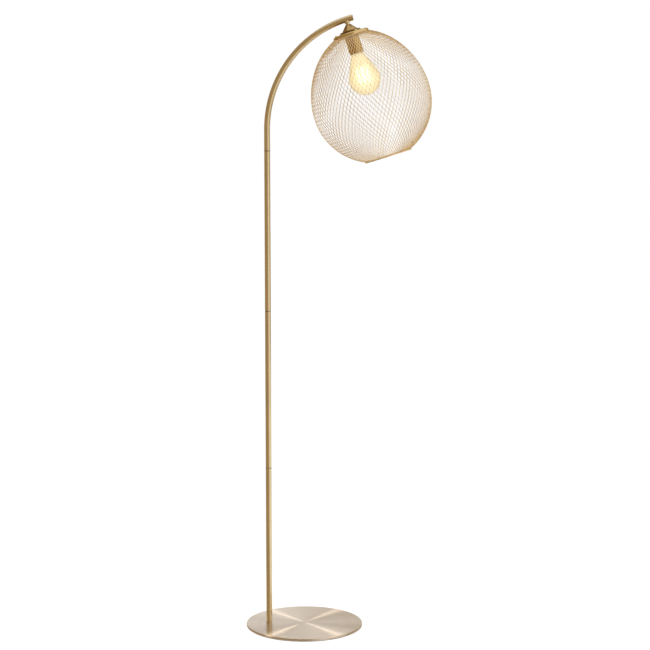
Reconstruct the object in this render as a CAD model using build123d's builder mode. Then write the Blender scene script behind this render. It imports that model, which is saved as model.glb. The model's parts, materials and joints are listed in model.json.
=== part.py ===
from build123d import *
from math import asin, atan2, cos, degrees, hypot, pi, radians, sin
import os

# A floor lamp: a heavy round foot, a thin pole screwed together from three tubes, an arm
# bent over in an arc, and a globe of metal mesh that hangs from the arm round a lamp holder.
#
# Millimetres and degrees. The origin is the centre of the foot's underside, on the floor.
# +Z is up, +X runs from the pole towards the shade, and the arm lies in the plane Y = 0.

# ---------------------------------------------------------------- driving dimensions
# Foot
disc_d = 300.0
disc_thickness = 6.0
disc_edge = 0.9
pad_thickness = 1.5
pad_inset = 3.0
foot_bolt_d = 8.0
foot_bolt_head_d = 15.6
foot_bolt_reach = 16.0

# Pole and arm
pole_offset = 92.0
tube_d = 15.0
tube_wall = 1.0
section_length = 407.0
section_count = 3
seam_chamfer = 0.35
plug_length = 22.0
stud_d = 8.0
stud_reach = 14.0
wire_channel_d = 5.2
arm_rise = 54.0
bend_radius = 286.0
bend_angle = 76.0
neck_to_end = 17.0
end_plug_length = 7.0

# Cable inlet in the far side of the lowest tube
inlet_height = 34.0
inlet_hole_d = 8.0
inlet_bore_d = 6.2
inlet_flange_d = 10.6
inlet_flange_stand = 1.9

# Neck: the threaded tube that the whole head hangs on. Depths are measured along its axis,
# downwards from the middle of the arm.
nipple_d = 10.0
nipple_bore_d = 7.0
collar_d = 14.0
collar_spigot_d = 11.4
collar_depth = 11.0

# Canopy, shade carrier and spacer
canopy_top_depth = 14.0
canopy_depth = 31.0
canopy_top_d = 13.0
canopy_waist_d = 39.0
canopy_d = 53.0
canopy_flare = 2.0
canopy_wall = 1.0
carrier_d = 91.0
carrier_hub_d = 50.0
carrier_shoulder_d = 66.0
carrier_step = 4.2
carrier_skirt = 6.4
carrier_edge = 3.4
carrier_wall = 1.2
spacer_d = 18.0
carrier_to_sleeve = 14.2

# Four screws that hold the shade's top ring under the carrier
shade_screw_count = 4
shade_screw_turn = 25.0
shade_screw_pcd = 78.0
shade_screw_d = 4.0
shade_screw_head_d = 7.0
shade_screw_head = 2.6

# Mesh globe
shade_d = 300.0
shade_upper_power = 1.9
shade_lower_power = 2.0
shade_upper_half = 181.0
shade_lower_half = 154.0
shade_mouth_d = 120.0
shade_wall = 1.2
strand_width = 2.2
cells_around = 24
cell_rows = 12
mesh_turn = 4.0
gore_count = 4
top_ring_d = 92.0
top_ring_band = 10.0
top_ring_thickness = 2.0
mouth_wire_d = 3.0

# Lamp holder for an E27 bulb
sleeve_d = 36.0
sleeve_wall = 0.8
sleeve_length = 41.6
nut_across_flats = 14.0
nut_thickness = 3.0
body_top_gap = 1.4
body_top = 6.0
shell_wall = 0.35
lip_height = 2.4
holder_screw_pcd = 27.0
holder_screw_d = 3.0
holder_screw_head_d = 5.2
holder_screw_head = 1.8
tongue_width = 6.0
tongue_thickness = 0.5
tongue_reach = 2.6

# Bulb: an 80 mm globe with a long neck
bulb_d = 80.0
bulb_length = 134.0
bulb_neck_d = 33.0
bulb_shoulder = 4.0
bulb_cap_d = 26.2
bulb_cap_length = 24.5
bulb_cap_wall = 0.4
glass_wall = 1.0
button_d = 9.4
button_height = 1.0
insulator_height = 3.6
stem_d = 8.0
stem_reach = 38.0
filament_count = 4
filament_d = 2.0
filament_length = 38.0
filament_circle_d = 24.0
lead_d = 0.9

# Clearances
thread_clearance = 0.05
press_gap = 0.02
turning_gap = 0.2
rest_gap = 0.2
bulb_gap = 0.3

# ---------------------------------------------------------------- derived sizes
tube_r = tube_d / 2
tube_bore_r = tube_r - tube_wall
disc_top = pad_thickness + disc_thickness
arm_foot = disc_top + section_count * section_length
bend_centre = (-pole_offset + bend_radius, arm_foot + arm_rise)
neck_angle = bend_angle - degrees(neck_to_end / bend_radius)

across = Vector(sin(radians(neck_angle)), 0, cos(radians(neck_angle)))
down = Vector(cos(radians(neck_angle)), 0, -sin(radians(neck_angle)))
neck_start = Vector(bend_centre[0], 0, bend_centre[1]) - down * bend_radius
head_section = Plane(origin=neck_start, x_dir=across, z_dir=(0, -1, 0))
head_axis = Axis(neck_start, -down)
pole_axis = Axis((-pole_offset, 0, 0), (0, 0, 1))

nipple_r = nipple_d / 2
turning_r = nipple_r + turning_gap
carrier_top = canopy_depth + rest_gap
carrier_flat = carrier_top + carrier_step
carrier_rim = carrier_flat + carrier_skirt
spacer_top = carrier_top + carrier_wall
sleeve_top = spacer_top + carrier_to_sleeve
sleeve_end = sleeve_top + sleeve_length
sleeve_r = sleeve_d / 2
sleeve_bore_r = sleeve_r - sleeve_wall
nut_top = sleeve_top + sleeve_wall + rest_gap
nipple_end = nut_top + nut_thickness
body_start = nipple_end + body_top_gap
body_r = sleeve_bore_r - press_gap
lip_start = sleeve_end - lip_height
seat_depth = body_start + body_top
cap_r = bulb_cap_d / 2
shell_r = cap_r + bulb_gap + shell_wall

ring_r = top_ring_d / 2
ring_top = carrier_rim + press_gap

button_top = seat_depth + tongue_reach + rest_gap
cap_top = button_top + button_height + insulator_height
cap_end = cap_top + bulb_cap_length - insulator_height
globe_r = bulb_d / 2
globe_centre = button_top + bulb_length - globe_r
neck_r = bulb_neck_d / 2
shoulder_depth = sleeve_end + bulb_shoulder
glass_mouth_r = cap_r - bulb_cap_wall - press_gap
glass_widening = (neck_r - glass_mouth_r) / (shoulder_depth - cap_end)
lip_bore_r = glass_mouth_r + glass_widening * (sleeve_end - cap_end) + 2 * bulb_gap


def head_plane(depth):
    """Plane square to the neck's axis at a depth below the arm, its normal pointing up."""
    return Plane(origin=neck_start + down * depth, x_dir=across, z_dir=-down)


def turned(*points):
    """Closed outline of (radius, depth) points, ready to be revolved about the neck's axis."""
    with BuildSketch(head_section) as outline:
        with BuildLine():
            Polyline(*[(radius, -depth) for radius, depth in points], close=True)
        make_face()
    return outline.sketch


def tube_outline(outer_r, inner_r, start, end):
    """Outline of a plain ring or tube round the neck's axis between two depths."""
    return turned((inner_r, start), (outer_r, start), (outer_r, end), (inner_r, end))


def outer_rims(piece):
    """A tube's outside end edges, the lowest first."""
    rings = piece.edges().filter_by(GeomType.CIRCLE)
    return rings.filter_by(lambda edge: abs(edge.radius - tube_r) < tube_wall / 2).sort_by(Axis.Z)


def save(piece, label):
    """Label a finished piece and write it to its own file."""
    piece.part.label = label
    export_step(piece.part, f"parts/{label}.step")


os.makedirs("parts", exist_ok=True)

# ---------------------------------------------------------------- foot
foot_place = Locations((-pole_offset, 0))

with BuildPart() as base_disc:
    with BuildSketch(Plane.XY.offset(pad_thickness)):
        Circle(disc_d / 2)
    extrude(amount=disc_thickness)
    fillet(base_disc.edges().filter_by(GeomType.CIRCLE), disc_edge)
    with Locations(Location((-pole_offset, 0, pad_thickness), (180, 0, 0))):
        CounterSinkHole(foot_bolt_d / 2 + thread_clearance, foot_bolt_head_d / 2, disc_thickness)
save(base_disc, "base_disc")

with BuildPart() as base_pad:
    with BuildSketch(Plane.XY):
        Circle(disc_d / 2 - pad_inset)
        with foot_place:
            Circle(foot_bolt_head_d / 2 + turning_gap, mode=Mode.SUBTRACT)
    extrude(amount=pad_thickness)
save(base_pad, "base_pad")

# The bolt's head is sunk flush with the disc's underside, above the pad.
bolt_cone = (foot_bolt_head_d - foot_bolt_d) / 2
with BuildPart() as foot_bolt:
    with BuildSketch(Plane.XZ) as bolt_outline:
        with BuildLine():
            Polyline(
                (-pole_offset, pad_thickness),
                (-pole_offset + foot_bolt_head_d / 2 - press_gap, pad_thickness),
                (-pole_offset + foot_bolt_d / 2 - press_gap, pad_thickness + bolt_cone),
                (-pole_offset + foot_bolt_d / 2 - press_gap, disc_top + foot_bolt_reach),
                (-pole_offset, disc_top + foot_bolt_reach),
                close=True,
            )
        make_face()
    revolve(axis=pole_axis)
    with BuildSketch(Plane.XY.offset(pad_thickness)):
        with foot_place:
            RegularPolygon(foot_bolt_d / 4, 6, major_radius=False)
    extrude(amount=bolt_cone, mode=Mode.SUBTRACT)
save(foot_bolt, "foot_bolt")

with BuildPart() as foot_plug:
    with BuildSketch(Plane.XY.offset(disc_top)):
        with foot_place:
            Circle(tube_bore_r - press_gap)
            Circle(foot_bolt_d / 2 + thread_clearance, mode=Mode.SUBTRACT)
    extrude(amount=plug_length)
save(foot_plug, "foot_plug")

# ---------------------------------------------------------------- pole
inlet_level = disc_top + inlet_height


def inlet_plane(distance):
    """Plane square to the cable inlet, at a distance behind the pole's axis."""
    return Plane((-pole_offset, distance, inlet_level), x_dir=(1, 0, 0), z_dir=(0, 1, 0))


pole_names = ["lower_pole", "middle_pole", "upper_pole"]

for index, pole_name in enumerate(pole_names):
    with BuildPart() as pole:
        with BuildSketch(Plane.XY.offset(disc_top + index * section_length)):
            with foot_place:
                Circle(tube_r)
                Circle(tube_bore_r, mode=Mode.SUBTRACT)
        extrude(amount=section_length)
        rims = outer_rims(pole)
        chamfer(rims if index else rims[-1:], seam_chamfer)
        if index == 0:
            with BuildSketch(inlet_plane(0)):
                Circle(inlet_hole_d / 2)
            extrude(amount=tube_d, mode=Mode.SUBTRACT)
    save(pole, pole_name)

# A rubber grommet lines the hole. Its flange follows the tube's round back.
inlet_face = tube_r + inlet_flange_stand
with BuildPart() as cable_grommet:
    with BuildSketch(inlet_plane(0)):
        Circle(inlet_flange_d / 2)
    extrude(amount=inlet_face)
    fillet(cable_grommet.edges().group_by(Axis.Y)[-1], inlet_flange_stand / 2)
    with BuildSketch(Plane.XY.offset(inlet_level - inlet_flange_d)):
        with foot_place:
            Circle(tube_r + press_gap)
    extrude(amount=2 * inlet_flange_d, mode=Mode.SUBTRACT)
    with BuildSketch(inlet_plane(tube_bore_r - tube_wall)):
        Circle(inlet_hole_d / 2 - press_gap)
    extrude(amount=2 * tube_wall + inlet_flange_stand)
    with BuildSketch(inlet_plane(0)):
        Circle(inlet_bore_d / 2)
    extrude(amount=inlet_face, mode=Mode.SUBTRACT)
save(cable_grommet, "cable_grommet")

# Each seam has a threaded socket pressed into the tube below and a hollow stud in the tube
# above it, and the wires run through both.
for index, seam_name in enumerate(["lower", "middle", "upper"]):
    seam_level = disc_top + (index + 1) * section_length
    with BuildPart() as seam_socket:
        with BuildSketch(Plane.XY.offset(seam_level - plug_length)):
            with foot_place:
                Circle(tube_bore_r - press_gap)
                Circle(stud_d / 2 + thread_clearance, mode=Mode.SUBTRACT)
        extrude(amount=plug_length)
    save(seam_socket, f"{seam_name}_seam_socket")
    with BuildPart() as seam_stud:
        with BuildSketch(Plane.XY.offset(seam_level)):
            with foot_place:
                Circle(tube_bore_r - press_gap)
        extrude(amount=plug_length)
        with BuildSketch(Plane.XY.offset(seam_level)):
            with foot_place:
                Circle(stud_d / 2)
        extrude(amount=-stud_reach)
        with BuildSketch(Plane.XY.offset(seam_level - stud_reach)):
            with foot_place:
                Circle(wire_channel_d / 2)
        extrude(amount=stud_reach + plug_length, mode=Mode.SUBTRACT)
    save(seam_stud, f"{seam_name}_seam_stud")

# ---------------------------------------------------------------- arm
bend_start = (-pole_offset, bend_centre[1])
with BuildPart() as arm_tube:
    with BuildLine(Plane.XZ) as arm_path:
        Line((-pole_offset, arm_foot), bend_start)
        CenterArc(bend_centre, bend_radius, 180, -bend_angle)
    with BuildSketch(Plane.XY.offset(arm_foot)):
        with foot_place:
            Circle(tube_r)
            Circle(tube_bore_r, mode=Mode.SUBTRACT)
    sweep(path=arm_path.wire())
    chamfer(outer_rims(arm_tube)[:1], seam_chamfer)
    with BuildSketch(head_plane(0)):
        Circle(collar_spigot_d / 2 + press_gap)
    extrude(amount=-tube_d, mode=Mode.SUBTRACT)
save(arm_tube, "arm_tube")

end_plane = Plane(
    origin=(
        bend_centre[0] - bend_radius * cos(radians(bend_angle)),
        0,
        bend_centre[1] + bend_radius * sin(radians(bend_angle)),
    ),
    z_dir=(sin(radians(bend_angle)), 0, cos(radians(bend_angle))),
)
with BuildPart() as arm_end_plug:
    with BuildLine(Plane.XZ) as plug_path:
        CenterArc(bend_centre, bend_radius, 180 - bend_angle, degrees(end_plug_length / bend_radius))
    with BuildSketch(end_plane):
        Circle(tube_bore_r - press_gap)
    sweep(path=plug_path.wire())
save(arm_end_plug, "arm_end_plug")

# ---------------------------------------------------------------- neck
# The collar's spigot passes through the arm's wall, and its shoulder fits round the tube.
with BuildPart() as neck_collar:
    revolve(tube_outline(collar_d / 2, nipple_r + thread_clearance, 0, collar_depth), axis=head_axis)
    with BuildLine(Plane.XZ) as saddle_path:
        CenterArc(bend_centre, bend_radius, 180 - bend_angle, 2 * degrees(neck_to_end / bend_radius))
    with BuildSketch(end_plane):
        Circle(tube_r + press_gap)
    sweep(path=saddle_path.wire(), mode=Mode.SUBTRACT)
    revolve(
        tube_outline(collar_spigot_d / 2, nipple_r + thread_clearance, tube_bore_r - tube_wall, collar_depth),
        axis=head_axis,
    )
save(neck_collar, "neck_collar")

with BuildPart() as neck_nipple:
    nipple_start = tube_bore_r - 2 * tube_wall
    revolve(tube_outline(nipple_r, nipple_bore_d / 2, nipple_start, nipple_end), axis=head_axis)
save(neck_nipple, "neck_nipple")

with BuildPart() as nipple_nut:
    with BuildSketch(head_plane(nut_top)):
        RegularPolygon(nut_across_flats / 2, 6, major_radius=False)
        Circle(nipple_r + thread_clearance, mode=Mode.SUBTRACT)
    extrude(amount=-nut_thickness)
save(nipple_nut, "nipple_nut")

# ---------------------------------------------------------------- canopy and carrier
with BuildPart() as canopy:
    revolve(
        turned(
            (turning_r, canopy_top_depth),
            (canopy_top_d / 2, canopy_top_depth),
            (canopy_top_d / 2 + canopy_wall, canopy_top_depth + canopy_wall),
            (canopy_waist_d / 2, canopy_depth - canopy_flare - canopy_wall / 2),
            (canopy_d / 2, canopy_depth - canopy_wall),
            (canopy_d / 2, canopy_depth),
            (canopy_waist_d / 2 - canopy_wall, canopy_depth - canopy_flare + canopy_wall / 2),
            (canopy_top_d / 2 - canopy_wall / 2, canopy_top_depth + 2 * canopy_wall),
            (turning_r, canopy_top_depth + 2 * canopy_wall),
        ),
        axis=head_axis,
    )
save(canopy, "canopy")

carrier_r = carrier_d / 2
with BuildPart() as shade_carrier:
    with BuildSketch(head_section):
        with BuildLine():
            inner_start = (turning_r, -carrier_top - carrier_wall)
            Polyline(
                inner_start,
                (turning_r, -carrier_top),
                (carrier_hub_d / 2, -carrier_top),
                (carrier_shoulder_d / 2, -carrier_flat),
                (carrier_r - carrier_edge, -carrier_flat),
            )
            RadiusArc(
                (carrier_r - carrier_edge, -carrier_flat),
                (carrier_r, -carrier_flat - carrier_edge),
                carrier_edge,
            )
            Polyline(
                (carrier_r, -carrier_flat - carrier_edge),
                (carrier_r, -carrier_rim),
                (carrier_r - carrier_wall, -carrier_rim),
                (carrier_r - carrier_wall, -carrier_flat - carrier_edge),
            )
            RadiusArc(
                (carrier_r - carrier_wall, -carrier_flat - carrier_edge),
                (carrier_r - carrier_edge, -carrier_flat - carrier_wall),
                -(carrier_edge - carrier_wall),
            )
            Polyline(
                (carrier_r - carrier_edge, -carrier_flat - carrier_wall),
                (carrier_shoulder_d / 2, -carrier_flat - carrier_wall),
                (carrier_hub_d / 2, -carrier_top - carrier_wall),
                inner_start,
            )
        make_face()
    revolve(axis=head_axis)
    with BuildSketch(head_plane(carrier_flat)):
        with PolarLocations(shade_screw_pcd / 2, shade_screw_count, start_angle=shade_screw_turn):
            Circle(shade_screw_d / 2 + thread_clearance)
    extrude(amount=-carrier_wall, mode=Mode.SUBTRACT)
save(shade_carrier, "shade_carrier")

with BuildPart() as neck_spacer:
    revolve(tube_outline(spacer_d / 2, turning_r, spacer_top, sleeve_top), axis=head_axis)
save(neck_spacer, "neck_spacer")

# ---------------------------------------------------------------- shade
with BuildPart() as shade_top_ring:
    with BuildSketch(head_plane(ring_top)):
        Circle(ring_r)
        Circle(ring_r - top_ring_band, mode=Mode.SUBTRACT)
        with PolarLocations(shade_screw_pcd / 2, shade_screw_count, start_angle=shade_screw_turn):
            Circle(shade_screw_d / 2 + thread_clearance, mode=Mode.SUBTRACT)
    extrude(amount=-top_ring_thickness)
save(shade_top_ring, "shade_top_ring")

for index in range(shade_screw_count):
    turn = shade_screw_turn + index * 360 / shade_screw_count
    with BuildPart() as shade_screw:
        with BuildSketch(head_plane(carrier_flat)):
            with PolarLocations(shade_screw_pcd / 2, 1, start_angle=turn):
                Circle(shade_screw_head_d / 2)
        extrude(amount=shade_screw_head)
        top_rim = shade_screw.edges().filter_by(GeomType.CIRCLE).sort_by(head_axis)[-1:]
        fillet(top_rim, 0.6 * shade_screw_head)
        with BuildSketch(head_plane(carrier_flat)):
            with PolarLocations(shade_screw_pcd / 2, 1, start_angle=turn):
                Circle(shade_screw_d / 2)
        extrude(amount=-(ring_top + top_ring_thickness - carrier_flat))
    save(shade_screw, f"shade_screw_{index + 1}")

# The globe's outline is two superellipse quarters that meet at its widest level. The upper
# one starts at the top ring, and the lower one ends at the mouth.
shade_r = shade_d / 2


def quarter_reach(radius, half, power):
    """Distance from the widest level at which a quarter of the outline has this radius."""
    return half * (1 - (radius / shade_r) ** power) ** (1 / power)


widest_depth = ring_top + quarter_reach(ring_r, shade_upper_half, shade_upper_power)
mouth_depth = widest_depth + quarter_reach(shade_mouth_d / 2, shade_lower_half, shade_lower_power)


def shade_radius(depth):
    """Outer radius of the globe at a depth along the neck's axis."""
    upper = depth < widest_depth
    half = shade_upper_half if upper else shade_lower_half
    power = shade_upper_power if upper else shade_lower_power
    return shade_r * (1 - (abs(depth - widest_depth) / half) ** power) ** (1 / power)


def even_levels(count):
    """Depths of count + 1 levels, the same distance apart along the globe's outline."""
    fine = 600
    step = (mouth_depth - ring_top) / fine
    depths = [ring_top + step * number for number in range(fine + 1)]
    run = [0.0]
    for above, below in zip(depths, depths[1:]):
        run.append(run[-1] + hypot(below - above, shade_radius(below) - shade_radius(above)))
    levels = []
    for number in range(count + 1):
        wanted = run[-1] * number / count
        nearest = min(range(fine + 1), key=lambda place: abs(run[place] - wanted))
        levels.append(depths[nearest])
    return levels


def slope_at(depth):
    """Unit vector along the outline at a depth, as (change of radius, change of depth)."""
    nudge = 0.01
    start = max(ring_top, depth - nudge)
    end = min(mouth_depth, depth + nudge)
    widening = shade_radius(end) - shade_radius(start)
    length = hypot(widening, end - start)
    return widening / length, (end - start) / length


outline_depths = even_levels(18)
outer_points = [(shade_radius(depth), -depth) for depth in outline_depths]
inner_points = []
for depth in outline_depths:
    widening, deepening = slope_at(depth)
    inner_points.append(
        (shade_radius(depth) - shade_wall * deepening, -(depth + shade_wall * widening))
    )

levels = even_levels(cell_rows + 1)


def cell_plane(level, turn):
    """Plane that touches the globe at a level and a turn round it, its normal outwards."""
    widening, deepening = slope_at(level)
    outward = across * cos(turn) + Vector(0, 1, 0) * sin(turn)
    around = Vector(0, 1, 0) * cos(turn) - across * sin(turn)
    point = neck_start + down * level + outward * shade_radius(level)
    return Plane(origin=point, x_dir=around, z_dir=outward * deepening - down * widening)


def gore_section(turn):
    """Half plane through the neck's axis at a turn round it: x outwards, y up the neck."""
    outward = across * cos(turn) + Vector(0, 1, 0) * sin(turn)
    return Plane(
        origin=neck_start, x_dir=outward, z_dir=across * sin(turn) - Vector(0, 1, 0) * cos(turn)
    )


# The mesh is made in gores that meet at a column of its knots.
gore_cells = cells_around // gore_count
for gore in range(gore_count):
    gore_turn = radians(mesh_turn) + 2 * pi * gore / gore_count
    with BuildPart() as mesh_gore:
        with BuildSketch(gore_section(gore_turn)):
            with BuildLine():
                Spline(*outer_points)
                Line(outer_points[-1], inner_points[-1])
                Spline(*reversed(inner_points))
                Line(inner_points[0], outer_points[0])
            make_face()
        revolve(axis=head_axis, revolution_arc=360 / gore_count)
        with BuildSketch(head_plane(ring_top - shade_wall)):
            Circle(ring_r + press_gap)
        extrude(amount=-(shade_wall + top_ring_thickness), mode=Mode.SUBTRACT)
        for row in range(1, cell_rows + 1):
            half_wide = pi * shade_radius(levels[row]) / cells_around
            half_high = (levels[row + 1] - levels[row - 1]) / 2 / slope_at(levels[row])[1]
            shrink = 1 - strand_width / 2 * hypot(half_wide, half_high) / (half_wide * half_high)
            row_turn = gore_turn + (row % 2) * pi / cells_around
            planes = [
                cell_plane(levels[row], row_turn + 2 * pi * cell / cells_around)
                for cell in range(gore_cells + 1 - row % 2)
            ]
            with BuildSketch(*planes):
                with BuildLine():
                    Polyline(
                        (half_wide * shrink, 0),
                        (0, half_high * shrink),
                        (-half_wide * shrink, 0),
                        (0, -half_high * shrink),
                        close=True,
                    )
                make_face()
            extrude(amount=3 * shade_wall, both=True, mode=Mode.SUBTRACT)
    save(mesh_gore, f"mesh_gore_{gore + 1}")

# The mouth's wire ring closes the lower edge of the mesh.
with BuildPart() as mouth_ring:
    with BuildSketch(head_section):
        with Locations((shade_radius(mouth_depth) - shade_wall / 2, -mouth_depth - mouth_wire_d / 2)):
            Circle(mouth_wire_d / 2)
    revolve(axis=head_axis)
save(mouth_ring, "mouth_ring")

# ---------------------------------------------------------------- lamp holder
screw_places = PolarLocations(holder_screw_pcd / 2, 2, start_angle=0)
terminal_places = PolarLocations(holder_screw_pcd / 2, 2, start_angle=90)

with BuildPart() as holder_sleeve:
    revolve(
        turned(
            (turning_r, sleeve_top),
            (sleeve_r - sleeve_wall, sleeve_top),
            (sleeve_r, sleeve_top + sleeve_wall),
            (sleeve_r, sleeve_end),
            (sleeve_bore_r, sleeve_end),
            (sleeve_bore_r, sleeve_top + sleeve_wall),
            (turning_r, sleeve_top + sleeve_wall),
        ),
        axis=head_axis,
    )
    with BuildSketch(head_plane(sleeve_top)):
        with screw_places:
            Circle(holder_screw_d / 2 + thread_clearance)
    extrude(amount=-sleeve_wall, mode=Mode.SUBTRACT)
save(holder_sleeve, "holder_sleeve")

# The insulating body is a thick cup. Two ribs beside the nut reach up to the sleeve's top.
with BuildPart() as holder_body:
    revolve(
        turned(
            (wire_channel_d / 2, body_start),
            (body_r, body_start),
            (body_r, lip_start),
            (shell_r + press_gap, lip_start),
            (shell_r + press_gap, seat_depth),
            (wire_channel_d / 2, seat_depth),
        ),
        axis=head_axis,
    )
    with BuildSketch(head_plane(sleeve_top + sleeve_wall)):
        with screw_places:
            Circle(holder_screw_d)
    extrude(amount=-(body_start - sleeve_top - sleeve_wall))
    with BuildSketch(head_plane(sleeve_top)):
        with screw_places:
            Circle(holder_screw_d / 2 + thread_clearance)
    extrude(amount=-(body_start - sleeve_top + body_top), mode=Mode.SUBTRACT)
    with BuildSketch(head_plane(body_start)):
        with terminal_places:
            Circle(holder_screw_d / 2 + thread_clearance)
    extrude(amount=-body_top, mode=Mode.SUBTRACT)
save(holder_body, "holder_body")

for name, places, level, reach in [
    ("holder_screw", screw_places, sleeve_top, body_start - sleeve_top + body_top / 2),
    ("terminal_screw", terminal_places, body_start, 0.8 * body_top),
]:
    for side, place in zip(["left", "right"], places.locations):
        with BuildPart() as small_screw:
            with BuildSketch(head_plane(level)):
                with Locations(place):
                    Circle(holder_screw_head_d / 2)
            extrude(amount=holder_screw_head if name == "holder_screw" else holder_screw_head / 2)
            with BuildSketch(head_plane(level)):
                with Locations(place):
                    Circle(holder_screw_d / 2)
            extrude(amount=-reach)
        save(small_screw, f"{name}_{side}")

with BuildPart() as holder_shell:
    revolve(
        turned(
            (shell_r - shell_wall, lip_start),
            (shell_r, lip_start),
            (shell_r, seat_depth),
            (shell_r - 4 * shell_wall, seat_depth),
            (shell_r - 4 * shell_wall, seat_depth + shell_wall),
            (shell_r - shell_wall, seat_depth + shell_wall),
        ),
        axis=head_axis,
    )
save(holder_shell, "holder_shell")

with BuildPart() as holder_lip:
    revolve(tube_outline(body_r, lip_bore_r, lip_start, sleeve_end), axis=head_axis)
    fillet(holder_lip.edges().filter_by(GeomType.CIRCLE).sort_by(head_axis)[:2], 0.4 * lip_height)
save(holder_lip, "holder_lip")

# A sprung brass tongue on the seat meets the bulb's button.
with BuildPart() as contact_tongue:
    with BuildSketch(head_section):
        with BuildLine():
            Polyline(
                (-shell_r / 2, -seat_depth),
                (-shell_r / 4, -seat_depth),
                (button_d / 2, -seat_depth - tongue_reach + tongue_thickness),
                (button_d / 2, -seat_depth - tongue_reach),
                (0, -seat_depth - tongue_reach),
                (-shell_r / 4, -seat_depth - tongue_thickness),
                (-shell_r / 2, -seat_depth - tongue_thickness),
                close=True,
            )
        make_face()
    extrude(amount=tongue_width / 2, both=True)
save(contact_tongue, "contact_tongue")

# ---------------------------------------------------------------- bulb
with BuildPart() as bulb_button:
    revolve(
        turned(
            (0, button_top),
            (button_d / 2 - button_height, button_top),
            (button_d / 2, button_top + button_height),
            (0, button_top + button_height),
        ),
        axis=head_axis,
    )
save(bulb_button, "bulb_button")

with BuildPart() as bulb_insulator:
    revolve(
        turned(
            (0, button_top + button_height),
            (button_d / 2 + button_height, button_top + button_height),
            (cap_r - bulb_cap_wall, cap_top),
            (0, cap_top),
        ),
        axis=head_axis,
    )
save(bulb_insulator, "bulb_insulator")

with BuildPart() as bulb_cap:
    revolve(
        turned(
            (cap_r - 3 * bulb_cap_wall, cap_top),
            (cap_r - bulb_cap_wall, cap_top),
            (cap_r, cap_top + bulb_cap_wall),
            (cap_r, cap_end),
            (cap_r - bulb_cap_wall, cap_end),
            (cap_r - bulb_cap_wall, cap_top + bulb_cap_wall),
            (cap_r - 3 * bulb_cap_wall, cap_top + bulb_cap_wall),
        ),
        axis=head_axis,
    )
save(bulb_cap, "bulb_cap")

# The glass runs straight out of the cap, widens at the shoulder and then goes on as a cone
# that touches the globe.
to_centre = globe_centre - shoulder_depth
cone_lean = asin(globe_r / hypot(to_centre, neck_r)) - atan2(neck_r, to_centre)
touch_r = globe_r * cos(cone_lean)
touch_depth = globe_centre - globe_r * sin(cone_lean)


def glass_profile(inset):
    """The glass's outline moved inwards: mouth, shoulder, touching point and tip."""
    return [
        (glass_mouth_r - inset, -cap_end + bulb_cap_length / 3),
        (glass_mouth_r - inset, -cap_end),
        (neck_r - inset, -shoulder_depth),
        (touch_r - inset * cos(cone_lean), -touch_depth - inset * sin(cone_lean)),
        (0, -globe_centre - globe_r + inset),
    ]


def globe_point(radius):
    """A point on the globe's lower half, for an arc to pass through."""
    return radius * cos(pi / 5), -globe_centre - radius * sin(pi / 5)


with BuildPart() as bulb_glass:
    with BuildSketch(head_section):
        with BuildLine():
            outer = glass_profile(0)
            inner = glass_profile(glass_wall)
            Polyline(*outer[:4])
            ThreePointArc(outer[3], globe_point(globe_r), outer[4])
            Line(outer[4], inner[4])
            ThreePointArc(inner[4], globe_point(globe_r - glass_wall), inner[3])
            Polyline(*reversed(inner[:4]))
            Line(inner[0], outer[0])
        make_face()
    revolve(axis=head_axis)
save(bulb_glass, "bulb_glass")

# The stem stands on a flare that closes the glass's mouth, and carries the two leads.
stem_foot = cap_end - bulb_cap_length / 3
stem_end = cap_end + stem_reach
with BuildPart() as bulb_stem:
    revolve(
        turned(
            (0, stem_foot),
            (glass_mouth_r - glass_wall - press_gap, stem_foot),
            (glass_mouth_r - glass_wall - press_gap, stem_foot + glass_wall),
            (stem_d / 2, stem_foot + stem_d),
            (stem_d / 2, stem_end),
            (0, stem_end),
        ),
        axis=head_axis,
    )
save(bulb_stem, "bulb_stem")

filament_top = stem_end + lead_d
filament_end = filament_top + filament_length
with BuildPart() as filament_frame:
    with BuildSketch(head_plane(stem_end)):
        Circle(lead_d)
    extrude(amount=-(filament_end + lead_d - stem_end))
    for level in (stem_end, filament_end):
        with BuildSketch(head_plane(level)):
            with PolarLocations(0, filament_count):
                Rectangle(filament_circle_d / 2 + filament_d / 2, lead_d, align=(Align.MIN, Align.CENTER))
        extrude(amount=-lead_d)
save(filament_frame, "filament_frame")

for index in range(filament_count):
    turn = index * 360 / filament_count
    with BuildPart() as filament:
        with BuildSketch(head_plane(filament_top)):
            with PolarLocations(filament_circle_d / 2, 1, start_angle=turn):
                Circle(filament_d / 2)
        extrude(amount=-filament_length)
    save(filament, f"bulb_filament_{index + 1}")
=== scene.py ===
"""Looks of a brass floor lamp with a wire mesh globe, laid out as a Blender add-on and run as a script.

The lamp's head hangs from a tilted neck: a point of it is given by its depth down the neck's axis, its
distance from that axis and its angle around it.
"""

import json
import math

import bpy
import numpy as np
from bpy.props import FloatProperty, FloatVectorProperty, IntProperty, PointerProperty
from mathutils import Matrix, Vector


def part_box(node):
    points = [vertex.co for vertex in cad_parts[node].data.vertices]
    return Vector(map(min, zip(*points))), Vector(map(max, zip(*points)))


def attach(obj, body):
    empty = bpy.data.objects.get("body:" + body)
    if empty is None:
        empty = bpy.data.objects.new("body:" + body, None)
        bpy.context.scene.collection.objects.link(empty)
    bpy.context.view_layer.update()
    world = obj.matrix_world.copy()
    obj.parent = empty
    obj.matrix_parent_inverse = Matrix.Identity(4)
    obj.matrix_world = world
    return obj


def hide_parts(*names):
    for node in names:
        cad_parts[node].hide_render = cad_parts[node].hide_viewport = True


bl_info = {
    "name": "Mesh Globe Floor Lamp",
    "version": (1, 0, 0),
    "blender": (4, 5, 0),
    "location": "View3D > Sidebar > Floor Lamp",
    "description": "Finishes, mesh globe, lit bulb and studio of a brass floor lamp",
    "category": "Object",
}

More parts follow.
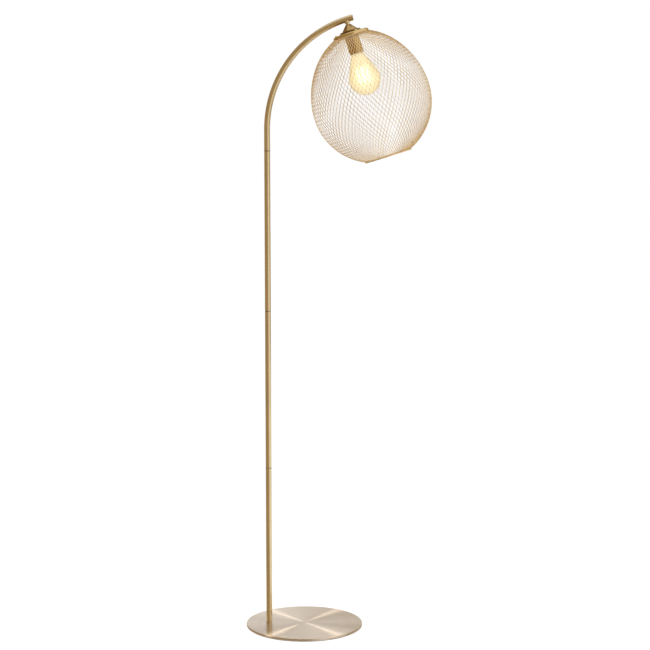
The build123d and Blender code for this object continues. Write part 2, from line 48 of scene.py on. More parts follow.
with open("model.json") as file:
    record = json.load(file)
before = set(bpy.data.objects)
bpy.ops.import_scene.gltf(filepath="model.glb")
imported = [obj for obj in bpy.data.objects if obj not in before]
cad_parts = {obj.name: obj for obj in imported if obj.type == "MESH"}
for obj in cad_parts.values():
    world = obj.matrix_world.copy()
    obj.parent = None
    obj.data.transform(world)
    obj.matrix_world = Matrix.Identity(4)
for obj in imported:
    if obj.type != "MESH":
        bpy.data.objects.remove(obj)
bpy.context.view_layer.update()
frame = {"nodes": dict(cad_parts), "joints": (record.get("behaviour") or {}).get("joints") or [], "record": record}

SWIVEL = next(joint for joint in frame["joints"] if joint["type"] == "hinge")
NECK_START = np.array(SWIVEL["pos_m"], float)
NECK_DOWN = -np.array(SWIVEL["axis"], float) / np.linalg.norm(SWIVEL["axis"])
NECK_SIDE = np.array((0.0, 1.0, 0.0))
NECK_ACROSS = np.cross(NECK_SIDE, NECK_DOWN)
POLE_NODES = ("lower_pole", "middle_pole", "upper_pole")
MESH_NODES = [name for name in frame["nodes"] if name.startswith("mesh_gore_")]
SHARP_ANGLE = math.radians(30.0)

# The floor lies just under the foot's pad, so that the two faces aren't drawn in one plane.
FLOOR_HEIGHT = -0.0003
FLOOR_RADIUS = 7.0

# Both lamps are squares aimed at the foot, with their light kept in a narrow cone.
LAMP_SIDE = 0.42
LAMP_SPREAD = math.radians(28.0)
LAMP_AIM = Vector((0.0, 0.0, 0.1))


# ---------------------------------------------------------------- values


def colour_value(label, description, default):
    """A colour that a user may change."""
    return FloatVectorProperty(
        name=label, description=description, default=default, subtype="COLOR", size=3, min=0.0, max=1.0
    )


def length_value(label, description, default):
    """A length in metres that a user may change."""
    return FloatProperty(
        name=label, description=description, default=default, unit="LENGTH", precision=5, min=0.0
    )


def plain_value(label, description, default):
    """A number without a unit, such as a roughness or a strength."""
    return FloatProperty(name=label, description=description, default=default, min=0.0)


class LampFinishValues(bpy.types.PropertyGroup):
    """Colours and gloss of the lamp's surfaces."""

    tube_colour: colour_value(
        "Tube brass", "Plated colour of the pole, arm and canopy", (0.71, 0.565, 0.34)
    )
    tube_roughness: plain_value("Tube roughness", "Roughness of the satin plating", 0.26)
    canopy_colour: colour_value(
        "Canopy brass", "Deeper plated colour of the canopy's cone", (0.46, 0.30, 0.12)
    )
    disc_colour: colour_value("Disc brass", "Colour of the spun disc", (0.72, 0.60, 0.47))
    disc_roughness: plain_value("Disc roughness", "Roughness of the spun disc", 0.36)
    mesh_colour: colour_value("Mesh brass", "Colour of the globe's strands", (0.87, 0.69, 0.42))
    mesh_roughness: plain_value("Mesh roughness", "Roughness of the globe's strands", 0.5)
    polished_colour: colour_value(
        "Polished brass", "Colour of the sleeve and the bulb's cap", (0.52, 0.33, 0.12)
    )
    carrier_colour: colour_value(
        "Carrier brass", "Colour of the polished plate over the globe", (0.66, 0.47, 0.21)
    )
    screw_colour: colour_value("Screw brass", "Colour of the plate's dome screws", (0.85, 0.68, 0.38))
    rubber_colour: colour_value(
        "Rubber", "Colour of the foot pad and the cable grommet", (0.021, 0.021, 0.022)
    )
    plastic_colour: colour_value("Holder plastic", "Colour of the lamp holder's body", (0.03, 0.03, 0.031))
    steel_colour: colour_value("Zinc plate", "Colour of the foot's bolt and plugs", (0.62, 0.63, 0.64))


class LampMeshValues(bpy.types.PropertyGroup):
    """Outline of the globe and the weave of its mesh."""

    radius: length_value("Radius", "Outer radius of the globe at its widest", 0.150)
    start_depth: length_value("Top", "Depth of the mesh's top edge below the neck's start", 0.04182)
    widest_depth: length_value("Widest", "Depth of the widest ring", 0.21247)
    mouth_depth: length_value("Mouth", "Depth of the mouth", 0.353613)
    upper_half: length_value("Upper half", "Height of the upper half of the outline", 0.181)
    lower_half: length_value("Lower half", "Height of the lower half of the outline", 0.154)
    upper_power: plain_value("Upper fullness", "Power of the upper half of the outline", 1.9)
    lower_power: plain_value("Lower fullness", "Power of the lower half of the outline", 2.0)
    cells_around: IntProperty(
        name="Cells around", description="Diamonds around the globe", default=88, min=8
    )
    half_rows: IntProperty(
        name="Half rows", description="Rows of knots from top to mouth", default=40, min=4
    )
    strand_width: length_value("Strand width", "Width of a strand across the surface", 0.00068)
    strand_depth: length_value("Strand depth", "Depth of a strand into the globe", 0.00055)
    bond_length: length_value("Bond", "Length over which two strands are joined", 0.0022)


class LampArmValues(bpy.types.PropertyGroup):
    """Line and section of the bent arm."""

    tube_radius: length_value("Tube radius", "Outer radius of the arm's tube", 0.0075)
    tube_wall: length_value("Tube wall", "Wall of the arm's tube", 0.001)
    seam_chamfer: length_value("Seam chamfer", "Chamfer round the arm's lower end", 0.00035)
    straight: length_value("Straight", "Length of the arm's straight foot", 0.054)
    bend_radius: length_value("Bend radius", "Radius of the bend along the tube's middle", 0.286)
    bend_angle: plain_value("Bend angle", "Angle of the bend, in degrees", 76.0)


class LampLightValues(bpy.types.PropertyGroup):
    """Bulb, studio lamps and surroundings."""

    glow_colour: colour_value("Glow", "Colour of the lit filaments", (1.0, 0.72, 0.36))
    glow_strength: plain_value("Glow strength", "Strength of the lit filaments", 8.0)
    glass_colour: colour_value("Bulb glass", "Tint of the bulb's glass", (1.0, 0.95, 0.78))
    ambient: plain_value("Ambient", "Strength of the white surroundings on matt surfaces", 0.7)
    left_lamp: plain_value("Left lamp", "Power of the lamp at the upper left, in watts", 0.48)
    right_lamp: plain_value("Right lamp", "Power of the lamp at the upper right, in watts", 0.44)
    flag_colour: colour_value(
        "Flag", "Colour of the dark flags that only gloss mirrors", (0.43, 0.335, 0.21)
    )
    floor_colour: colour_value("Floor", "Colour of the pale floor", (0.93, 0.93, 0.93))


# ---------------------------------------------------------------- material nodes


def add_node(tree, kind, inputs=None, **settings):
    """Adds one shader node. An input given as a socket is linked, any other value is set on it."""
    made = tree.nodes.new("ShaderNode" + kind)
    for key, value in settings.items():
        setattr(made, key, value)
    for key, value in (inputs or {}).items():
        if isinstance(value, bpy.types.NodeSocket):
            tree.links.new(value, made.inputs[key])
        else:
            made.inputs[key].default_value = value
    return made


def maths(tree, operation, first, second=0.0):
    """One Math node's result."""
    return add_node(tree, "Math", {0: first, 1: second}, operation=operation).outputs[0]


def vector_maths(tree, operation, *inputs):
    """The outputs of one Vector Math node."""
    return add_node(tree, "VectorMath", dict(enumerate(inputs)), operation=operation).outputs


def new_material(name):
    """An empty node material and its tree."""
    material = bpy.data.materials.new(name)
    material.use_nodes = True
    material.node_tree.nodes.clear()
    return material, material.node_tree


def principled(tree, inputs):
    """The Principled shader, linked to the material's output."""
    shader = add_node(tree, "BsdfPrincipled", inputs)
    add_node(tree, "OutputMaterial", {"Surface": shader.outputs[0]})
    return shader


def blend_colour(tree, factor, low, high):
    """A colour that runs from low to high with the factor."""
    mix = add_node(tree, "Mix", {0: factor, 6: (*low, 1.0), 7: (*high, 1.0)}, data_type="RGBA")
    return mix.outputs[2]


def scaled(colour, amount):
    """A colour made darker or lighter, kept under 1."""
    return tuple(min(1.0, channel * amount) for channel in colour)


def object_place(tree):
    """The place on an object, in the object's own coordinates."""
    return add_node(tree, "TexCoord").outputs["Object"]


def noise(tree, place, scale, detail=2.0, roughness=0.5):
    """Value of a noise texture at a place."""
    inputs = {"Vector": place, "Scale": scale, "Detail": detail, "Roughness": roughness}
    return add_node(tree, "TexNoise", inputs).outputs[0]


def spread(tree, value, low, high):
    """Maps a noise's middle range, 0.3 to 0.7, onto low..high."""
    return add_node(tree, "MapRange", {0: value, 1: 0.3, 2: 0.7, 3: low, 4: high}).outputs[0]


def mottled(tree, value, colour, low, high):
    """The colour, made low to high times as bright by a noise's value."""
    return blend_colour(tree, spread(tree, value, 0.0, 1.0), scaled(colour, low), scaled(colour, high))


def bump(tree, height, distance, strength):
    """A bump whose height is in metres at distance."""
    return add_node(tree, "Bump", {"Height": height, "Distance": distance, "Strength": strength}).outputs[0]


def metal(name, colour, roughness, grain=900.0, tint=0.06):
    """Plated metal: clouds in its colour, fine grain in its roughness and surface."""
    material, tree = new_material(name)
    place = object_place(tree)
    clouds = noise(tree, place, 14.0, 3.0)
    lines = noise(tree, place, grain, 2.0, 0.6)
    principled(tree, {
        "Base Color": mottled(tree, clouds, colour, 1.0 - tint, 1.0 + tint),
        "Metallic": 1.0,
        "Roughness": spread(tree, lines, roughness * 0.85, roughness * 1.2),
        "Normal": bump(tree, lines, 0.00001, 0.2),
    })
    return material


def pole_material(values):
    """The tubes' plated metal, with a painted shade line where two tubes meet, standing in for the shadow in the
    seam's groove.

    The line is darkest within 1.2 mm of the seam, and gone at 2.2 mm from it.
    """
    material = metal("satin_brass_pole", values.tube_colour, values.tube_roughness)
    tree = material.node_tree
    shader = next(node for node in tree.nodes if node.type == "BSDF_PRINCIPLED")
    height = add_node(tree, "SeparateXYZ", {0: object_place(tree)}).outputs["Z"]
    nearest = 1.0
    for name in POLE_NODES:
        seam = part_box(name)[1][2]
        away = maths(tree, "ABSOLUTE", maths(tree, "SUBTRACT", height, seam))
        nearest = maths(tree, "MINIMUM", nearest, away)
    # Painted shade: the colour darkens near each seam, as the groove's shadow would darken it.
    dark = add_node(tree, "MapRange", {0: nearest, 1: 0.0012, 2: 0.0022, 3: 0.55, 4: 0.0}).outputs[0]
    plain = shader.inputs["Base Color"].links[0].from_socket
    shade = (*scaled(values.tube_colour, 0.35), 1.0)
    mix = add_node(tree, "Mix", {0: dark, 6: plain, 7: shade}, data_type="RGBA")
    tree.links.new(mix.outputs[2], shader.inputs["Base Color"])
    return material


def spun_disc_material(values):
    """Spun metal: rings of fine grooves around the disc's axis, which spread the gloss along each radius."""
    material, tree = new_material("spun_brass")
    flat = vector_maths(tree, "MULTIPLY", object_place(tree), (1.0, 1.0, 0.0))[0]
    distance = vector_maths(tree, "LENGTH", flat)["Value"]
    circling = vector_maths(tree, "CROSS_PRODUCT", (0.0, 0.0, 1.0), flat)[0]
    facing = add_node(tree, "NewGeometry").outputs["Normal"]
    across = vector_maths(tree, "CROSS_PRODUCT", facing, circling)[0]
    rings = add_node(tree, "CombineXYZ", {0: distance}).outputs[0]
    fine = noise(tree, rings, 1500.0, 2.0, 0.7)
    broad = noise(tree, rings, 90.0, 3.0, 0.6)
    principled(tree, {
        "Base Color": mottled(tree, broad, values.disc_colour, 0.95, 1.05),
        "Metallic": 1.0,
        "Roughness": spread(tree, fine, values.disc_roughness * 0.9, values.disc_roughness * 1.1),
        "Anisotropic": 1.0,
        "Tangent": vector_maths(tree, "NORMALIZE", across)[0],
        "Coat Weight": 1.0,
        "Coat Roughness": 0.06,
        "Normal": bump(tree, fine, 0.00002, 0.2),
    })
    return material


def mesh_material(values):
    """Plated expanded metal: its strands differ a little in tone, and each has a fine drawn grain."""
    material, tree = new_material("mesh_brass")
    place = object_place(tree)
    patches = noise(tree, place, 60.0, 2.0)
    grain = noise(tree, place, 1800.0, 1.0)
    principled(tree, {
        "Base Color": mottled(tree, patches, values.mesh_colour, 0.9, 1.1),
        "Metallic": 1.0,
        "Roughness": spread(tree, grain, values.mesh_roughness * 0.85, values.mesh_roughness * 1.15),
    })
    return material


def rubber_material(values):
    """Matt black rubber with a fine pebbled surface."""
    material, tree = new_material("black_rubber")
    place = object_place(tree)
    pebbles = noise(tree, place, 700.0, 2.0)
    dust = noise(tree, place, 25.0, 3.0)
    principled(tree, {
        "Base Color": mottled(tree, dust, values.rubber_colour, 0.85, 1.5),
        "Roughness": spread(tree, pebbles, 0.62, 0.8),
        "Normal": bump(tree, pebbles, 0.00015, 0.6),
    })
    return material


def plastic_material(values):
    """Moulded thermoplastic with a faint spark-eroded grain."""
    material, tree = new_material("holder_plastic")
    place = object_place(tree)
    grain = noise(tree, place, 1600.0, 2.0)
    flow = noise(tree, place, 60.0, 2.0)
    principled(tree, {
        "Base Color": mottled(tree, flow, values.plastic_colour, 0.9, 1.2),
        "Roughness": spread(tree, grain, 0.34, 0.48),
        "Normal": bump(tree, grain, 0.00004, 0.4),
    })
    return material


def glass_material(name, colour, edge_colour, roughness, painted_glow=(0.0, 0.0, 0.0), painted_glow_strength=0.0):
    """Blown glass whose tint deepens towards its outline, where the eye looks through more of the wall."""
    material, tree = new_material(name)
    facing = add_node(tree, "LayerWeight", {"Blend": 0.5}).outputs["Facing"]
    ripples = noise(tree, object_place(tree), 45.0, 1.0)
    principled(tree, {
        "Base Color": blend_colour(tree, facing, colour, edge_colour),
        "Roughness": roughness,
        "IOR": 1.45,
        "Transmission Weight": 1.0,
        # Painted glow: a faint emission standing in for the lit filament's light scattered in the glass.
        "Emission Color": (*painted_glow, 1.0),
        "Emission Strength": painted_glow_strength,
        "Normal": bump(tree, ripples, 0.0004, 0.15),
    })
    return material


def insulator_material():
    """Black glass between the cap and its contact, with a few paler swirls."""
    material, tree = new_material("insulator_glass")
    swirls = noise(tree, object_place(tree), 220.0, 3.0)
    paleness = spread(tree, swirls, 0.0, 1.0)
    principled(tree, {
        "Base Color": blend_colour(tree, paleness, (0.012, 0.010, 0.014), (0.03, 0.026, 0.04)),
        "Roughness": 0.12,
    })
    return material


def filament_material(values):
    """Lit carbon filament, whose glow is a little uneven along it."""
    material, tree = new_material("lit_filament")
    flicker = noise(tree, object_place(tree), 900.0, 1.0)
    principled(tree, {
        "Base Color": (0.05, 0.03, 0.02, 1.0),
        "Roughness": 0.6,
        "Emission Color": mottled(tree, flicker, values.glow_colour, 0.92, 1.0),
        "Emission Strength": values.glow_strength,
    })
    return material


# ---------------------------------------------------------------- meshes


def mesh_object(name, points, quads, material, smooth=True):
    """A mesh object at the origin from an array of points and one of quads."""
    mesh = bpy.data.meshes.new(name)
    mesh.from_pydata(points.reshape(-1, 3).tolist(), [], quads.reshape(-1, 4).tolist())
    mesh.materials.append(material)
    mesh.polygons.foreach_set("use_smooth", np.full(len(mesh.polygons), smooth))
    mesh.update()
    made = bpy.data.objects.new(name, mesh)
    bpy.context.scene.collection.objects.link(made)
    return made


def head_points(angle, distance, depth):
    """Points of the head: NECK_START + depth along the neck + distance away from it at the angle."""
    angle, distance, depth = np.broadcast_arrays(angle, distance, depth)
    return (
        NECK_START
        + depth[..., None] * NECK_DOWN
        + (distance * np.cos(angle))[..., None] * NECK_ACROSS
        + (distance * np.sin(angle))[..., None] * NECK_SIDE
    )


def arm_surface(sizes, foot, around=64, along=220):
    """Points and quads of the bent arm: a ring carried along a path.

    The path runs straight up from foot and then bends towards +X on a circle. The rings go out over the
    chamfer at the lower end, up the outside, into the bore at the upper end and back down inside.
    """
    bend = math.radians(sizes.bend_angle)
    length = sizes.straight + sizes.bend_radius * bend
    outer, bore, edge = sizes.tube_radius, sizes.tube_radius - sizes.tube_wall, sizes.seam_chamfer
    outside = np.linspace(edge, length, along)
    station = np.concatenate(((0.0,), outside, outside[::-1], (0.0,)))
    radius = np.concatenate(((outer - edge,), np.full(along, outer), np.full(along + 1, bore)))
    turn = np.maximum(station - sizes.straight, 0.0) / sizes.bend_radius
    middle = np.stack((
        foot[0] + sizes.bend_radius * (1.0 - np.cos(turn)),
        np.zeros(turn.shape),
        foot[1] + np.minimum(station, sizes.straight) + sizes.bend_radius * np.sin(turn),
    ), -1)
    inward = np.stack((np.cos(turn), np.zeros(turn.shape), -np.sin(turn)), -1)
    angle = np.linspace(0.0, 2.0 * np.pi, around, endpoint=False)
    ring = np.cos(angle)[:, None] * inward[:, None] + np.sin(angle)[:, None] * NECK_SIDE
    points = middle[:, None] + radius[:, None, None] * ring
    index = np.arange(len(station) * around).reshape(len(station), around)
    ahead = np.roll(index, -1, 1)
    quads = np.stack((index, ahead, np.roll(ahead, -1, 0), np.roll(index, -1, 0)), -1)
    return points, quads


def globe_meridian(sizes, count=4000):
    """The globe's outline from top to mouth: depth, radius and arc length.

    The radius is R * (1 - |(depth - widest) / half| ** power) ** (1 / power), with one half height and
    power above the widest ring and another below it.
    """
    depth = np.linspace(sizes.start_depth, sizes.mouth_depth, count)
    below = depth > sizes.widest_depth
    half = np.where(below, sizes.lower_half, sizes.upper_half)
    power = np.where(below, sizes.lower_power, sizes.upper_power)
    radius = sizes.radius * (1.0 - (np.abs(depth - sizes.widest_depth) / half) ** power) ** (1.0 / power)
    steps = np.hypot(np.diff(depth), np.diff(radius))
    return depth, radius, np.concatenate(([0.0], np.cumsum(steps)))


def globe_strands(sizes):
    """Points and quads of the mesh globe's strands.

    Two strands zigzag down from each cell of the top edge, one to the right and one to the left, half a
    cell each half row. They run side by side over a short bond at each knot. A strand's section is a
    rectangle: its width lies around the globe and its depth along the outline's normal.
    """
    depth, radius, arc = globe_meridian(sizes)
    cells, rows = sizes.cells_around, sizes.half_rows
    knots = np.linspace(0.0, arc[-1], rows + 1)
    bond = sizes.bond_length / 2.0
    stations = np.clip(np.stack((knots - bond, knots + bond), 1).ravel(), 0.0, arc[-1])
    odd = np.repeat(np.arange(rows + 1) % 2, 2)
    station_depth = np.interp(stations, arc, depth)
    station_radius = np.interp(stations, arc, radius)
    slope_depth = np.interp(stations, arc, np.gradient(depth, arc))
    slope_radius = np.interp(stations, arc, np.gradient(radius, arc))

    hand = np.array((1.0, -1.0))[:, None, None]
    cell = np.arange(cells)[None, :, None]
    side = np.where(odd == 0, 1.0, -1.0)
    middle = 2.0 * np.pi / cells * (cell + hand * 0.5 * odd)
    middle = middle + hand * side * sizes.strand_width / 2.0 / station_radius

    across = np.array((-1.0, 1.0, 1.0, -1.0)) * sizes.strand_width / 2.0
    inward = np.array((0.0, 0.0, 1.0, 1.0)) * sizes.strand_depth
    angle = middle[..., None] + across / station_radius[:, None]
    corner_radius = station_radius[:, None] - inward * slope_depth[:, None]
    corner_depth = station_depth[:, None] + inward * slope_radius[:, None]
    points = head_points(angle, corner_radius[None, None], corner_depth[None, None])

    count = len(stations)
    first = np.arange(2 * cells * count * 4).reshape(2 * cells, count, 4)
    above, below = first[:, :-1], first[:, 1:]
    sides = np.stack((above, np.roll(above, -1, 2), np.roll(below, -1, 2), below), -1)
    top = first[:, 0, ::-1]
    end = first[:, -1]
    quads = np.concatenate((sides.reshape(-1, 4), top, end))
    return points, quads


# ---------------------------------------------------------------- operators


def slot_nodes(*slots):
    """The CAD nodes whose finish comes from these slots of the record."""
    parts = frame["record"]["subparts"]
    return [frame["nodes"][part["node"]] for part in parts if part["material_slot"] in slots]


def put_on(material, nodes):
    """Gives the material to every slot of these CAD nodes."""
    for piece in nodes:
        for slot in piece.material_slots:
            slot.material = material


class FLOORLAMP_OT_tube_finish(bpy.types.Operator):
    """Gives the pole, the arm, the canopy and the neck their satin brass plate"""

    bl_idname = "floorlamp.tube_finish"
    bl_label = "Finish Tubes"

    def execute(self, context):
        values = context.scene.lamp_finishes
        brass = metal("satin_brass", values.tube_colour, values.tube_roughness)
        put_on(brass, slot_nodes("satin_brass_plate"))
        put_on(pole_material(values), [frame["nodes"][name] for name in (*POLE_NODES, "arm_tube")])
        put_on(metal("deep_brass", values.canopy_colour, 0.24), [frame["nodes"]["canopy"]])
        return {"FINISHED"}


class FLOORLAMP_OT_smooth_arm(bpy.types.Operator):
    """Builds the bent arm as one smooth swept tube"""

    bl_idname = "floorlamp.smooth_arm"
    bl_label = "Build Smooth Arm"

    def execute(self, context):
        sizes = context.scene.lamp_arm
        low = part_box("arm_tube")[0]
        points, quads = arm_surface(sizes, (low[0] + sizes.tube_radius, low[2]))
        material = frame["nodes"]["arm_tube"].material_slots[0].material
        arm = mesh_object("bent_arm", points, quads, material)
        arm.data.set_sharp_from_angle(angle=SHARP_ANGLE)
        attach(arm, "stand")
        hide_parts("arm_tube")
        return {"FINISHED"}


class FLOORLAMP_OT_disc_finish(bpy.types.Operator):
    """Gives the disc its spun brass and the pad under it its rubber"""

    bl_idname = "floorlamp.disc_finish"
    bl_label = "Finish Disc and Pad"

    def execute(self, context):
        values = context.scene.lamp_finishes
        put_on(spun_disc_material(values), slot_nodes("spun_brass_plate"))
        put_on(rubber_material(values), slot_nodes("black_rubber"))
        zinc = metal("zinc_plate", values.steel_colour, 0.38, grain=500.0, tint=0.05)
        put_on(zinc, slot_nodes("zinc_plated_steel"))
        put_on(metal("nipple_brass", values.tube_colour, 0.3), [frame["nodes"]["neck_nipple"]])
        return {"FINISHED"}


class FLOORLAMP_OT_mesh_globe(bpy.types.Operator):
    """Builds the globe of brass mesh in place of its coarser CAD lattice"""

    bl_idname = "floorlamp.mesh_globe"
    bl_label = "Build Mesh Globe"

    def execute(self, context):
        material = mesh_material(context.scene.lamp_finishes)
        points, quads = globe_strands(context.scene.lamp_mesh)
        globe = mesh_object("mesh_globe", points, quads, material, smooth=False)
        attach(globe, "head")
        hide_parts(*MESH_NODES)
        put_on(material, slot_nodes("brass_plated_mesh"))
        return {"FINISHED"}


class FLOORLAMP_OT_holder_finish(bpy.types.Operator):
    """Gives the lamp holder its plastic, the bright brass parts and the screws their brass, and the shade's
    carrier its polished brass
    """

    bl_idname = "floorlamp.holder_finish"
    bl_label = "Finish Lamp Holder"

    def execute(self, context):
        values = context.scene.lamp_finishes
        put_on(plastic_material(values), slot_nodes("holder_plastic"))
        polished = metal("polished_brass", values.polished_colour, 0.16, grain=1400.0, tint=0.04)
        put_on(polished, slot_nodes("bright_brass"))
        screws = metal("screw_brass", values.screw_colour, 0.10, grain=1400.0, tint=0.04)
        put_on(screws, slot_nodes("brass_screws"))
        carrier = metal("carrier_brass", values.carrier_colour, 0.13, tint=0.04)
        put_on(carrier, [frame["nodes"]["shade_carrier"]])
        return {"FINISHED"}


class FLOORLAMP_OT_lit_bulb(bpy.types.Operator):
    """Lights the bulb: tinted glass, clear stem, wire frame and glowing filaments"""

    bl_idname = "floorlamp.lit_bulb"
    bl_label = "Light the Bulb"

    def execute(self, context):
        light = context.scene.lamp_light
        # The amber glass gets a painted glow: a faint emission standing in for the filament's light scattered in
        # it.
        amber = glass_material(
            "amber_glass", light.glass_colour, (1.0, 0.88, 0.56), 0.36,
            painted_glow=(1.0, 0.88, 0.66), painted_glow_strength=0.08,
        )
        put_on(amber, slot_nodes("amber_glass"))
        clear = glass_material("clear_glass", (0.97, 0.97, 0.96), (0.9, 0.92, 0.91), 0.03)
        put_on(clear, slot_nodes("clear_glass"))
        put_on(insulator_material(), slot_nodes("bulb_insulator_glass"))
        put_on(metal("nickel_wire", (0.6, 0.58, 0.55), 0.3, grain=2000.0), slot_nodes("filament_wire"))
        put_on(filament_material(light), slot_nodes("filament"))
        return {"FINISHED"}


# ---------------------------------------------------------------- studio


def seen_directly(tree):
    """1 for what the camera sees, straight, mirrored in gloss or through glass, and 0 for matt light."""
    path = add_node(tree, "LightPath").outputs
    direct = maths(tree, "MAXIMUM", path["Is Camera Ray"], path["Is Glossy Ray"])
    return maths(tree, "MAXIMUM", direct, path["Is Transmission Ray"])


def build_world(light):
    """White surroundings for what is seen, and a softer strength for the light on matt surfaces."""
    world = bpy.data.worlds.new("studio_white")
    world.use_nodes = True
    tree = world.node_tree
    tree.nodes.clear()
    strength = add_node(tree, "MapRange", {0: seen_directly(tree), 3: light.ambient, 4: 1.0}).outputs[0]
    white = add_node(tree, "Background", {"Color": (1.0, 1.0, 1.0, 1.0), "Strength": strength})
    add_node(tree, "OutputWorld", {"Surface": white.outputs[0]})
    bpy.context.scene.world = world


def floor_material(light):
    """Pale floor that keeps a faint shadow: part of its seen light is its own, and part the studio's.

    It is clear from below, so that the underside of the foot can be looked at.
    """
    material, tree = new_material("studio_floor")
    matt = add_node(tree, "BsdfDiffuse", {"Color": (*light.floor_colour, 1.0)})
    own = add_node(tree, "Emission", {"Color": (1.0, 1.0, 1.0, 1.0), "Strength": 1.3})
    share = maths(tree, "MULTIPLY", seen_directly(tree), 0.58)
    mixed = add_node(tree, "MixShader", {0: share, 1: matt.outputs[0], 2: own.outputs[0]})
    below = add_node(tree, "NewGeometry").outputs["Backfacing"]
    clear = add_node(tree, "BsdfTransparent")
    sided = add_node(tree, "MixShader", {0: below, 1: mixed.outputs[0], 2: clear.outputs[0]})
    add_node(tree, "OutputMaterial", {"Surface": sided.outputs[0]})
    return material


def flag_material(light):
    """A dark flag's own dim light, which turns white where the flag's fade value rises to 1."""
    material, tree = new_material("studio_flag")
    fade = add_node(tree, "Attribute", attribute_name="fade").outputs["Fac"]
    glow = add_node(tree, "Emission", {
        "Color": blend_colour(tree, fade, light.flag_colour, (1.0, 1.0, 1.0)), "Strength": 1.0
    })
    add_node(tree, "OutputMaterial", {"Surface": glow.outputs[0]})
    return material


def build_floor(light):
    """A round pale floor."""
    turn = np.linspace(0.0, 2.0 * np.pi, 97)[:-1]
    reach = np.array((0.0001, 1.0, FLOOR_RADIUS))
    points = np.stack((
        np.outer(reach, np.cos(turn)),
        np.outer(reach, np.sin(turn)),
        np.full((len(reach), len(turn)), FLOOR_HEIGHT),
    ), -1)
    index = np.arange(points.size // 3).reshape(len(reach), len(turn))
    ahead = np.roll(index, -1, 1)
    quads = np.stack((index[:-1], index[1:], ahead[1:], ahead[:-1]), -1)
    floor = mesh_object("studio_floor", points, quads, floor_material(light), smooth=False)


def add_flag(name, points, fade, light):
    """A dark sheet that only gloss sees, from a grid of points and how far each has faded to white."""
    index = np.arange(points.size // 3).reshape(points.shape[:2])
    quads = np.stack((index[:-1, :-1], index[:-1, 1:], index[1:, 1:], index[1:, :-1]), -1)
    flag = mesh_object(name, points, quads, flag_material(light))
    values = flag.data.attributes.new("fade", "FLOAT", "POINT")
    values.data.foreach_set("value", np.broadcast_to(fade, index.shape).ravel())
    flag.visible_camera = flag.visible_diffuse = flag.visible_transmission = flag.visible_shadow = False


def end_fade(angle, over):
    """How far a row of angles has faded: 0 along its middle, rising to 1 over some degrees at each end.

    The rise is 1 - t ** 2 * (3 - 2 * t), where t counts the way in from the nearer end.
    """
    inside = np.clip(np.minimum(angle - angle[0], angle[-1] - angle) / math.radians(over), 0.0, 1.0)
    return 1.0 - inside ** 2 * (3.0 - 2.0 * inside)


def build_tray_flag(light, start=-175.0, end=33.0, near=0.1515, far=2.4, height=4.6):
    """A dark round tray about the lamp, open at the right.

    Its angle is counted from the front, towards the right. Its section runs out from near to far along
    the floor and then up the wall.
    """
    angle = np.radians(np.linspace(start, end, 105))
    profile = np.array(((near, 0.0015), (far - 0.4, 0.002), (far - 0.1, 0.12), (far, 0.45), (far, height)))
    points = np.stack((
        np.outer(profile[:, 0], np.sin(angle)), -np.outer(profile[:, 0], np.cos(angle)),
        np.broadcast_to(profile[:, 1:], (len(profile), len(angle))),
    ), -1)
    add_flag("studio_tray_flag", points, end_fade(angle, over=22.0), light)


def build_ring_flag(light):
    """A dark ring on the floor round the foot, seen only in gloss, which the foot's rim mirrors as a painted
    reflection of the shade by the foot.
    """
    angle = np.linspace(0.0, 2.0 * np.pi, 129)
    radius = np.array((0.1512, 0.18, 0.24))
    points = np.stack((
        np.outer(radius, np.sin(angle)), -np.outer(radius, np.cos(angle)), np.full((3, len(angle)), 0.001),
    ), -1)
    add_flag("studio_ring_flag", points, np.array((0.0, 0.0, 1.0))[:, None], light)


def build_back_flag(light):
    """A dark sheet behind the head and above it, which the top of the arm mirrors."""
    across, height = np.meshgrid(np.linspace(-1.4, 1.4, 9), np.linspace(1.62, 2.9, 5))
    points = np.stack((across, np.full(across.shape, 1.2), height), -1)
    add_flag("studio_back_flag", points, np.zeros(across.shape), light)


def build_low_flag(light, radius=2.3):
    """A low dark wall at the back and the right, which the sides of the spun foot mirror."""
    angle = np.radians(np.linspace(80.0, 195.0, 47))
    height = np.linspace(0.35, 1.25, 5)
    ring = radius * np.stack((np.sin(angle), -np.cos(angle)), -1)
    points = np.concatenate((
        np.broadcast_to(ring, (len(height), *ring.shape)),
        np.broadcast_to(height[:, None, None], (len(height), len(angle), 1)),
    ), -1)
    add_flag("studio_low_flag", points, end_fade(angle, over=25.0), light)


def area_lamp(name, place, watts):
    """A square lamp at a place, whose narrow light falls on the foot and passes the globe by."""
    lamp = bpy.data.lights.new(name, "AREA")
    lamp.shape = "RECTANGLE"
    lamp.size = lamp.size_y = LAMP_SIDE
    lamp.energy, lamp.spread = watts, LAMP_SPREAD
    made = bpy.data.objects.new(name, lamp)
    turn = (LAMP_AIM - Vector(place)).to_track_quat("-Z", "Y")
    made.matrix_world = Matrix.Translation(place) @ turn.to_matrix().to_4x4()
    bpy.context.scene.collection.objects.link(made)


def build_camera():
    """The photograph's camera: 4.68 m away, level with the globe's middle, looking slightly down."""
    place = Vector((0.5425, -4.6457, 1.3799))
    heading, pitch, roll = math.radians(5.998), math.radians(7.23), math.radians(-0.050)
    ahead = Vector((
        -math.sin(heading) * math.cos(pitch), math.cos(heading) * math.cos(pitch), -math.sin(pitch)
    ))
    level = Vector((math.cos(heading), math.sin(heading), 0.0))
    steep = level.cross(ahead)
    right = math.cos(roll) * level + math.sin(roll) * steep
    upward = math.cos(roll) * steep - math.sin(roll) * level
    camera = bpy.data.cameras.new("photo_camera")
    camera.sensor_width, camera.lens, camera.clip_start = 36.0, 102.46, 0.05
    made = bpy.data.objects.new("photo_camera", camera)
    turn = Matrix((right, upward, -ahead)).transposed().to_4x4()
    made.matrix_world = Matrix.Translation(place) @ turn
    bpy.context.scene.collection.objects.link(made)
    bpy.context.scene.camera = made


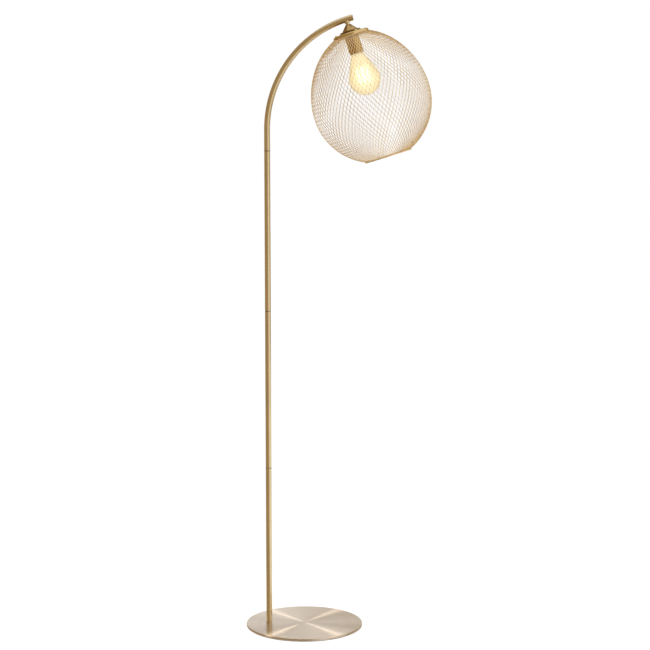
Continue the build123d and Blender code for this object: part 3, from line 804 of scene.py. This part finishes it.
class FLOORLAMP_OT_studio(bpy.types.Operator):
    """Sets up the pale floor, the white surroundings, the dark flags, the two lamps and the camera"""

    bl_idname = "floorlamp.studio"
    bl_label = "Set Up Studio"

    def execute(self, context):
        light = context.scene.lamp_light
        context.scene.view_settings.view_transform = "Standard"
        build_world(light)
        build_floor(light)
        build_tray_flag(light)
        build_ring_flag(light)
        build_back_flag(light)
        build_low_flag(light)
        area_lamp("left_lamp", (-1.89, 0.28, 2.38), light.left_lamp)
        area_lamp("right_lamp", (1.86, 0.76, 2.41), light.right_lamp)
        build_camera()
        return {"FINISHED"}


class FLOORLAMP_PT_panel(bpy.types.Panel):
    """Buttons that build and finish the lamp"""

    bl_idname = "FLOORLAMP_PT_panel"
    bl_label = "Mesh Globe Floor Lamp"
    bl_space_type = "VIEW_3D"
    bl_region_type = "UI"
    bl_category = "Floor Lamp"

    def draw(self, context):
        for step in STEPS:
            self.layout.operator(step.bl_idname)
        scene = context.scene
        for group in (scene.lamp_finishes, scene.lamp_arm, scene.lamp_mesh, scene.lamp_light):
            box = self.layout.box()
            for key in group.__annotations__:
                box.prop(group, key)


STEPS = (
    FLOORLAMP_OT_tube_finish,
    FLOORLAMP_OT_smooth_arm,
    FLOORLAMP_OT_disc_finish,
    FLOORLAMP_OT_mesh_globe,
    FLOORLAMP_OT_holder_finish,
    FLOORLAMP_OT_lit_bulb,
    FLOORLAMP_OT_studio,
)
CLASSES = (LampFinishValues, LampArmValues, LampMeshValues, LampLightValues, *STEPS, FLOORLAMP_PT_panel)


def register():
    """Registers the classes and the scene's value groups."""
    for entry in CLASSES:
        bpy.utils.register_class(entry)
    bpy.types.Scene.lamp_finishes = PointerProperty(type=LampFinishValues)
    bpy.types.Scene.lamp_arm = PointerProperty(type=LampArmValues)
    bpy.types.Scene.lamp_mesh = PointerProperty(type=LampMeshValues)
    bpy.types.Scene.lamp_light = PointerProperty(type=LampLightValues)


def unregister():
    """Takes the value groups and the classes out again."""
    del bpy.types.Scene.lamp_light
    del bpy.types.Scene.lamp_mesh
    del bpy.types.Scene.lamp_arm
    del bpy.types.Scene.lamp_finishes
    for entry in reversed(CLASSES):
        bpy.utils.unregister_class(entry)


def main():
    """Builds everything in order."""
    register()
    bpy.ops.floorlamp.tube_finish()
    bpy.ops.floorlamp.smooth_arm()
    bpy.ops.floorlamp.disc_finish()
    bpy.ops.floorlamp.mesh_globe()
    bpy.ops.floorlamp.holder_finish()
    bpy.ops.floorlamp.lit_bulb()
    bpy.ops.floorlamp.studio()


if __name__ == "__main__":
    main()
